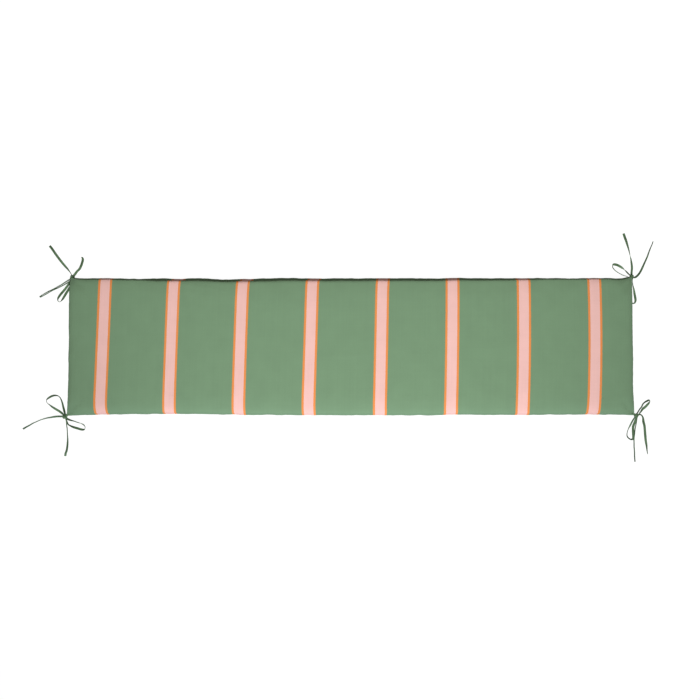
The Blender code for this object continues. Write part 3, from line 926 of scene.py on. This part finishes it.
def makeStripedCotton():
    # plain-woven cotton and polyester cloth, its stripes woven in: matt and fine, with uneven yarns and dye
    material, tree, shader = newMaterial("stripedPlainWeave")
    place = addNode(tree, "ShaderNodeUVMap", uv_map="clothRun").outputs[0]
    along = addNode(tree, "ShaderNodeSeparateXYZ", {0: place}).outputs[0]
    repeats = addNode(
        tree, "ShaderNodeMath", {0: along, 1: 1 / stripes["repeat"], 2: 0.5}, operation="MULTIPLY_ADD"
    )
    share = addNode(tree, "ShaderNodeMath", {0: repeats.outputs[0]}, operation="FRACT")
    centred = addNode(tree, "ShaderNodeMath", {0: share.outputs[0], 1: 0.5}, operation="SUBTRACT")
    offset = addNode(tree, "ShaderNodeMath", {0: centred.outputs[0]}, operation="ABSOLUTE")
    # the ragged edge of a woven stripe: threads 0.5 mm apart stray in and out by less than one
    ragPlace = addNode(tree, "ShaderNodeMapping", {"Vector": place, "Scale": (20, 900, 0)})
    rag = addNode(tree, "ShaderNodeTexNoise", {"Vector": ragPlace.outputs[0], "Scale": 1.0, "Detail": 1.0})
    astray = addNode(
        tree, "ShaderNodeMapRange", {"Value": rag.outputs[0], 1: 0.3, 2: 0.7, 3: -0.0003, 4: 0.0003}
    )
    distance = addNode(
        tree,
        "ShaderNodeMath",
        {0: offset.outputs[0], 1: stripes["repeat"], 2: astray.outputs[0]},
        operation="MULTIPLY_ADD",
    ).outputs[0]
    halfPink = stripes["pink"] / 2
    inPink = addNode(tree, "ShaderNodeMath", {0: distance, 1: halfPink}, operation="LESS_THAN")
    inEdge = addNode(
        tree, "ShaderNodeMath", {0: distance, 1: halfPink + stripes["edge"]}, operation="LESS_THAN"
    )
    edged = addNode(
        tree,
        "ShaderNodeMix",
        {0: inEdge.outputs[0], 6: toLinear("#769473"), 7: toLinear("#ea8f4c")},
        data_type="RGBA",
    )
    striped = addNode(
        tree,
        "ShaderNodeMix",
        {0: inPink.outputs[0], 6: edged.outputs[2], 7: toLinear("#f0c0b8")},
        data_type="RGBA",
    )
    # thicker and thinner yarns: streaks 4 mm apart that run for 0.2 m and more, and dye in patches of 60 mm
    streakPlace = addNode(tree, "ShaderNodeMapping", {"Vector": place, "Scale": (1 / 0.004, 1 / 0.28, 0)})
    streak = addNode(tree, "ShaderNodeTexNoise", {"Vector": streakPlace.outputs[0], "Scale": 1.0, "Detail": 3.0})
    weftPlace = addNode(tree, "ShaderNodeMapping", {"Vector": place, "Scale": (1 / 0.16, 1 / 0.005, 0)})
    weft = addNode(tree, "ShaderNodeTexNoise", {"Vector": weftPlace.outputs[0], "Scale": 1.0, "Detail": 2.0})
    patchPlace = addNode(tree, "ShaderNodeMapping", {"Vector": place, "Scale": (1 / 0.06, 1 / 0.06, 0)})
    patch = addNode(tree, "ShaderNodeTexNoise", {"Vector": patchPlace.outputs[0], "Scale": 1.0, "Detail": 3.0})
    yarns = addNode(
        tree, "ShaderNodeMath", {0: weft.outputs[0], 1: 0.5, 2: streak.outputs[0]}, operation="MULTIPLY_ADD"
    )
    tones = addNode(
        tree, "ShaderNodeMath", {0: patch.outputs[0], 1: 1.5, 2: yarns.outputs[0]}, operation="MULTIPLY_ADD"
    )
    tone = addNode(tree, "ShaderNodeMapRange", {"Value": tones.outputs[0], 1: 1.1, 2: 1.9, 3: 0.965, 4: 1.035})
    toned = addNode(tree, "ShaderNodeVectorMath", {0: striped.outputs[2], 3: tone.outputs[0]}, operation="SCALE")
    tree.links.new(toned.outputs[0], shader.inputs["Base Color"])
    # plain weave, threads 0.5 mm apart, drawn 1.4 mm apart so that they show from near
    threads = addNode(tree, "ShaderNodeMapping", {"Vector": place, "Scale": (1 / 0.0014, 1 / 0.0014, 0)})
    cross = addNode(tree, "ShaderNodeSeparateXYZ", {0: threads.outputs[0]})
    waves = []
    for side in (0, 1):
        turn = addNode(tree, "ShaderNodeMath", {0: cross.outputs[side], 1: math.pi}, operation="MULTIPLY")
        waves.append(addNode(tree, "ShaderNodeMath", {0: turn.outputs[0]}, operation="SINE").outputs[0])
    weave = addNode(tree, "ShaderNodeMath", {0: waves[0], 1: waves[1]}, operation="MULTIPLY")
    relief = addNode(
        tree, "ShaderNodeMath", {0: streak.outputs[0], 1: 0.8, 2: weave.outputs[0]}, operation="MULTIPLY_ADD"
    )
    bump = addNode(tree, "ShaderNodeBump", {"Height": relief.outputs[0], "Strength": 0.3, "Distance": 0.00018})
    tree.links.new(bump.outputs[0], shader.inputs["Normal"])
    shader.inputs["Roughness"].default_value = 0.88
    shader.inputs["Specular IOR Level"].default_value = 0.22
    shader.inputs["Sheen Weight"].default_value = 0.06
    shader.inputs["Sheen Roughness"].default_value = 0.55
    return material


def sectionRuns():
    # how far round the rolled edge's section each level is from the bench up
    runs = [0.0]
    for one, two in zip(edgeSection, edgeSection[1:]):
        runs.append(runs[-1] + math.hypot(two["height"] - one["height"], two["front"] - one["front"]) * mm)
    return runs


def gridCells(form, spans):
    # which column, row and level of the plain grid each vertex is
    cells = {}
    for vertex in form.verts:
        cells[vertex] = tuple(round((vertex.co[axis] + 1) / 2 * spans[axis]) for axis in range(3))
    return cells


def printStripes(form, clothRun, cells, spans, placesAlong, placesAcross):
    # the cloth's own run, as a map on every face: the panels are cut to run down over the sides
    runs = sectionRuns()
    laid = [[coverPlace(x, y, len(edgeSection) - 1) for y in placesAcross] for x in placesAlong]
    for face in form.faces:
        levels = [cells[vertex][2] for vertex in face.verts]
        backPanel = min(levels) < cover["seamLevel"]
        for loop in face.loops:
            i, j, level = cells[loop.vert]
            x, y = laid[i][j].xy
            down = runs[level] if backPanel else runs[-1] - runs[level]
            runX = x + (math.copysign(down, x) if i in (0, spans[0]) else 0.0)
            runY = y + (math.copysign(down, y) if j in (0, spans[1]) else 0.0)
            loop[clothRun].uv = (stripeRun(runX, y, backPanel), runY)


def settle(thing, held):
    # the cover settles over its filling as cloth, sewn fast at the seam, and its moves are kept small
    group = thing.vertex_groups.new(name="held")
    group.add(held, 1.0, "REPLACE")
    drape = thing.modifiers.new("drape", "CLOTH")
    cloth = drape.settings
    cloth.quality = 6
    cloth.mass = 0.05
    cloth.vertex_group_mass = group.name
    cloth.shrink_min = -settling["slack"]
    cloth.use_pressure = True
    cloth.uniform_pressure_force = settling["pressure"]
    cloth.effector_weights.gravity = 0
    drape.collision_settings.use_collision = False
    drape.point_cache.frame_start = 1
    drape.point_cache.frame_end = settling["frames"]
    for number in range(1, settling["frames"] + 1):
        scene.frame_set(number)
    settled = thing.evaluated_get(bpy.context.evaluated_depsgraph_get()).data
    moves = [after.co - before.co for before, after in zip(thing.data.vertices, settled.vertices)]
    thing.modifiers.remove(drape)
    thing.vertex_groups.clear()
    scene.frame_set(1)
    return moves


def creaseRise(x, y, fromSeam):
    rise = 0.0
    for fold in creases:
        held = 1.0 if "toSeam" in fold else min(1.0, fromSeam / (20 * mm))
        start, end = Vector(fold["from"]) * mm, Vector(fold["to"]) * mm
        line = end - start
        share = min(1.0, max(0.0, (Vector((x, y)) - start).dot(line) / line.length_squared))
        away = (Vector((x, y)) - start - line * share).length / (fold["wide"] * mm)
        taper = math.sin(math.pi * min(1.0, max(0.0, 0.12 + 0.76 * share)))
        rise += held * fold["rise"] * mm * taper * math.exp(-away * away)
    return rise


def puckerRise(point, fromSeam, nearEnd):
    # the gathers run square to the seam, so they change along it and hold across it
    along, across = (point.y, point.x) if nearEnd else (point.x, point.y)
    close = noise.noise(Vector((along / puckers["along"], across / 0.09, 5.0 if nearEnd else 1.0)))
    close += 0.5 * noise.noise(Vector((along / puckers["along"] * 2.3, across / 0.09, 9.0)))
    wide = noise.noise(Vector((along / puckers["waveAlong"], across / 0.25, 2.0)))
    t = fromSeam / puckers["reach"]
    u = fromSeam / puckers["waveReach"]
    return puckers["depth"] * close * t * math.exp(1 - t) + puckers["waveDepth"] * wide * math.exp(-u * u)

def makeCushion(material):
    placesAlong = gradedPlaces(outline["left"], outline["right"], cover["alongSteps"], cover["alongSpans"])
    placesAcross = gradedPlaces(outline["front"], outline["back"], cover["acrossSteps"], cover["acrossSpans"])
    topLevel = len(edgeSection) - 1
    spans = (len(placesAlong) - 1, len(placesAcross) - 1, topLevel)
    form = bmesh.new()
    crease = form.edges.layers.float.new("crease_edge")
    edgeRun = form.verts.layers.float_vector.new("edgeRun")
    clothRun = form.loops.layers.uv.new("clothRun")
    bmesh.ops.create_cube(form, size=2.0)
    for axis, count in enumerate(spans):
        lengthwise = [e for e in form.edges if abs((e.verts[0].co - e.verts[1].co)[axis]) > 1e-6]
        bmesh.ops.subdivide_edges(form, edges=lengthwise, cuts=count - 1, use_grid_fill=True)
    cells = gridCells(form, spans)
    printStripes(form, clothRun, cells, spans, placesAlong, placesAcross)
    for edge in form.edges:
        if all(cells[vertex][2] == cover["seamLevel"] for vertex in edge.verts):
            edge[crease] = cover["seamCrease"]

    # each point keeps its way from the seam, whether it is nearer to an end, and whether it is off the bench
    runs = sectionRuns()
    held = []
    form.verts.index_update()
    for vertex, (i, j, level) in cells.items():
        x, y = placesAlong[i], placesAcross[j]
        _, _, fromEnd, fromSide = sidesNear(x, y)
        fromSeam = abs(runs[level] - runs[cover["seamLevel"]])
        if level == topLevel:
            fromSeam += min(fromEnd, fromSide)
        vertex.co = coverPlace(x, y, level)
        vertex[edgeRun] = Vector((fromSeam, fromEnd < fromSide, level > 0))
        if level in (0, cover["seamLevel"]):
            held.append(vertex.index)
    print("cover: grid of", len(form.faces), "faces")
    cushion = meshObject("cushionCover", form, [material])

    moves = settle(cushion, held)
    most = 0.0
    for vertex, move in zip(cushion.data.vertices, moves):
        fromSeam = cushion.data.attributes["edgeRun"].data[vertex.index].vector.x
        share = min(1.0, fromSeam / cover["edgeReach"])
        allowed = settling["mostMoveAtSides"] * (1 - share) + settling["mostMove"] * share
        vertex.co += move * (allowed / (allowed + move.length))
        most = max(most, move.length)
    print(f"cover: settled by up to {most / mm:.1f} mm before the cap")
    return cushion


def shownMesh(thing):
    bpy.context.view_layer.update()
    evaluated = thing.evaluated_get(bpy.context.evaluated_depsgraph_get())
    return bpy.data.meshes.new_from_object(evaluated)


def finishCushion(cushion):
    # one subdivision rounds the cover; then come the gathers of the seam and the soft folds of the top
    rounding = cushion.modifiers.new("rounding", "SUBSURF")
    rounding.levels = 1
    rounding.render_levels = 1
    mesh = shownMesh(cushion)
    cushion.modifiers.remove(rounding)
    rough = cushion.data
    cushion.data = mesh
    bpy.data.meshes.remove(rough)
    mesh.name = cushion.name
    edgeRun = [tuple(item.vector) for item in mesh.attributes["edgeRun"].data]
    normals = [vertex.normal.copy() for vertex in mesh.vertices]
    for vertex, normal, (fromSeam, nearEnd, offBench) in zip(mesh.vertices, normals, edgeRun):
        fold = creaseRise(vertex.co.x, vertex.co.y, fromSeam) * eased(max(0.0, normal.z))
        vertex.co += normal * (puckerRise(vertex.co, fromSeam, nearEnd > 0.5) * offBench)
        vertex.co.z += fold
    mesh.attributes.remove(mesh.attributes["edgeRun"])

    # it lies flat on the bench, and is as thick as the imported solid
    places = [vertex.co for vertex in mesh.vertices]
    low, high = min(co.z for co in places), max(co.z for co in places)
    for co in places:
        co.z = (co.z - low) * cushionHigh.z / (high - low)
    print("cover: finished with", len(mesh.polygons), "faces")


def cornerTip(corner):
    # the seam's own corner, where the tie is sewn in, and the way out from it
    end, side = ears[corner]["sides"]
    tip = coverPlace(outline[end] * mm, outline[side] * mm, cover["seamLevel"])
    return tip, Vector((math.copysign(1, tip.x), math.copysign(1, tip.y), 0)).normalized()


# A knot is three turns of the tape, pulled tight and gathered, crossing over each other.
knotForm = {
    "size": (19.0, 16.0, 13.0),
    "sunk": 0.7,  # how far the middle of the tape lies under the knot's outside, in mm
    "wraps": [  # how each turn is turned, tipped and moved, and its size as a share
        {"turn": 0, "tip": 8, "shift": (0, 0, 0), "share": 0.98},
        {"turn": 34, "tip": -20, "shift": (0.8, 0.5, -0.4), "share": 0.90},
        {"turn": 78, "tip": 14, "shift": (-0.7, 0.3, 0.3), "share": 0.86},
    ],
    "steps": 40,
}

gatheredSection = [  # the tape pulled together in the knot, its width in three soft folds, in mm
    {"across": -3.8, "through": 0.0},
    {"across": -3.5, "through": 0.55},
    {"across": -2.6, "through": 1.00},
    {"across": -1.6, "through": 0.50},
    {"across": -0.5, "through": 1.05},
    {"across": 0.6, "through": 0.55},
    {"across": 1.8, "through": 1.10},
    {"across": 2.9, "through": 0.75},
    {"across": 3.6, "through": 0.50},
    {"across": 3.8, "through": 0.0},
]


def wrapRound(form, points, axis, centre):
    # a closed turn of gathered tape: its width lies along the axis and its thickness points out of the knot
    run = form.verts.layers.float_vector["tapeRun"]
    rings = extrudeRings(form, outlineRing(form, gatheredSection), len(points))
    travelled = 0.0
    for k, point in enumerate(points):
        before = points[k - 1] if k else points[-2]
        after = points[k + 1] if k < len(points) - 1 else points[1]
        outward = axis.cross(after - before).normalized()
        if outward.dot(point - centre) < 0:
            outward = -outward
        if k:
            travelled += (point - before).length
        for vertex in rings[k]:
            across, deep = vertex[run].y, vertex[run].z
            vertex.co = point + axis * across * mm + outward * (deep - 0.05 * across * across) * mm
            vertex[run] = Vector((travelled / mm, across, deep))


def makeKnot(name, knot, turn, material):
    form = bmesh.new()
    form.verts.layers.float_vector.new("tapeRun")
    _, wide, tall = [size / 2 - knotForm["sunk"] for size in knotForm["size"]]
    stand = Matrix.Translation(knot) @ Matrix.Rotation(math.radians(turn), 4, "Z")
    for wrap in knotForm["wraps"]:
        spin = Matrix.Rotation(math.radians(wrap["turn"]), 4, "Z")
        spin = spin @ Matrix.Rotation(math.radians(wrap["tip"]), 4, "X")
        place = stand @ Matrix.Translation(Vector(wrap["shift"]) * mm) @ spin
        points = []
        for k in range(knotForm["steps"] + 1):
            angle = 2 * math.pi * k / knotForm["steps"]
            onWaist = Vector((0.0, math.cos(angle) * wide, math.sin(angle) * tall)) * mm
            points.append(place @ (onWaist * wrap["share"]))
        wrapRound(form, points, place.to_3x3() @ Vector((1, 0, 0)), knot)
    bmesh.ops.remove_doubles(form, verts=form.verts, dist=1e-6)
    bmesh.ops.recalc_face_normals(form, faces=form.faces)
    return meshObject(name, form, [material])


def makeTies(tapeCloth, thread):
    for number, (corner, table) in enumerate(ties.items()):
        place = table["knot"]
        knot = Vector((place["along"], place["across"], place["height"])) * mm
        tip, outward = cornerTip(corner)
        root = tip - outward * tape["sewnIn"]
        knotPiece = makeKnot("tieKnot_" + corner, knot, place["turn"], tapeCloth)
        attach(knotPiece, "root")
        for layer, (half, (loop, end)) in zip(tape["layers"], table["halves"].items()):
            own = stemPoints(tip, root, knot, layer)
            own += routePoints(corner, loop, knot) + routePoints(corner, end, knot)
            points = laidDown(evenSteps(smoothRoute(own), tape["step"]), number * 7.1 + layer / mm)
            piece = makeTape(f"tie_{corner}_{half}", points, number * 3.7 + layer / mm, tapeCloth)
            stitches = makeStitches(f"tieStitches_{corner}_{half}", points, thread)
            for thing in (piece, stitches):
                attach(thing, "root")
            if half == "a":
                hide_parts("tie_" + corner)


# A plain pale table, one soft key light from above the front, and weak fills low on every side.
studio = {
    "tableSize": 30.0,
    "tableColour": "#646463",
    "tableGlow": 0.975,
    "sky": 0.136,
    "keyPlace": (0.08, -1.9, 3.3),
    "keyAim": (0.03, 0.5, 0.0),
    "keyPower": 580.0,
    "keyCone": 54.0,
    "keyRadius": 0.30,
    "fills": [
        {"name": "frontFill", "place": (0.0, -2.6, 0.5), "power": 19.0, "size": (1.8, 0.5), "colour": "#c8deff"},
        {"name": "backFill", "place": (0.0, 2.4, 0.5), "power": 4.0, "size": (1.8, 0.5), "colour": "#fff0cc"},
        {"name": "leftFill", "place": (-2.6, 0.0, 0.5), "power": 4.5, "size": (0.9, 0.5), "colour": "#ffffff"},
        {"name": "rightFill", "place": (2.6, 0.0, 0.5), "power": 4.5, "size": (0.9, 0.5), "colour": "#ffffff"},
    ],
}


def aimed(light, place, aim=(0, 0, 0)):
    lamp = linkObject(light.name, light)
    lamp.location = place
    lamp.rotation_euler = (Vector(aim) - Vector(place)).to_track_quat("-Z", "Y").to_euler()


def makeStudio():
    form = bmesh.new()
    bmesh.ops.create_grid(form, x_segments=1, y_segments=1, size=studio["tableSize"] / 2)
    # a sheet of matt white acrylic lit from below: most of its light is its own, so it shows hardly a shadow
    material, tree, shader = newMaterial("litWhiteAcrylic")
    shader.inputs["Base Color"].default_value = toLinear(studio["tableColour"])
    shader.inputs["Roughness"].default_value = 1.0
    shader.inputs["Specular IOR Level"].default_value = 0.0
    shader.inputs["Emission Color"].default_value = (1, 1, 1, 1)
    shader.inputs["Emission Strength"].default_value = studio["tableGlow"]
    floor = meshObject("floor", form, [material])
    floor.visible_diffuse = False
    floor.visible_glossy = False

    # the room is white to look at, and gives only a little light
    world = bpy.data.worlds.new("paleRoom")
    world.use_nodes = True
    background = world.node_tree.nodes["Background"]
    seen = addNode(world.node_tree, "ShaderNodeLightPath").outputs["Is Camera Ray"]
    glow = addNode(world.node_tree, "ShaderNodeMapRange", {"Value": seen, 3: studio["sky"], 4: 1.0})
    world.node_tree.links.new(glow.outputs[0], background.inputs["Strength"])
    background.inputs["Color"].default_value = (1, 1, 1, 1)
    scene.world = world

    key = bpy.data.lights.new("key", "SPOT")
    key.energy = studio["keyPower"]
    key.spot_size = math.radians(studio["keyCone"])
    key.spot_blend = 1.0
    key.shadow_soft_size = studio["keyRadius"]
    aimed(key, studio["keyPlace"], studio["keyAim"])
    for row in studio["fills"]:
        fill = bpy.data.lights.new(row["name"], "AREA")
        fill.shape = "RECTANGLE"
        fill.size, fill.size_y = row["size"]
        fill.energy = row["power"]
        fill.color = toLinear(row["colour"])[:3]
        aimed(fill, row["place"])
    scene.view_settings.view_transform = "Standard"


stripedCloth = makeStripedCotton()
tapeCloth = makeTapeCloth()
thread = makeThread()
cushion = makeCushion(stripedCloth)
finishCushion(cushion)
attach(cushion, "root")
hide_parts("cushion")
makeTies(tapeCloth, thread)
makeStudio()
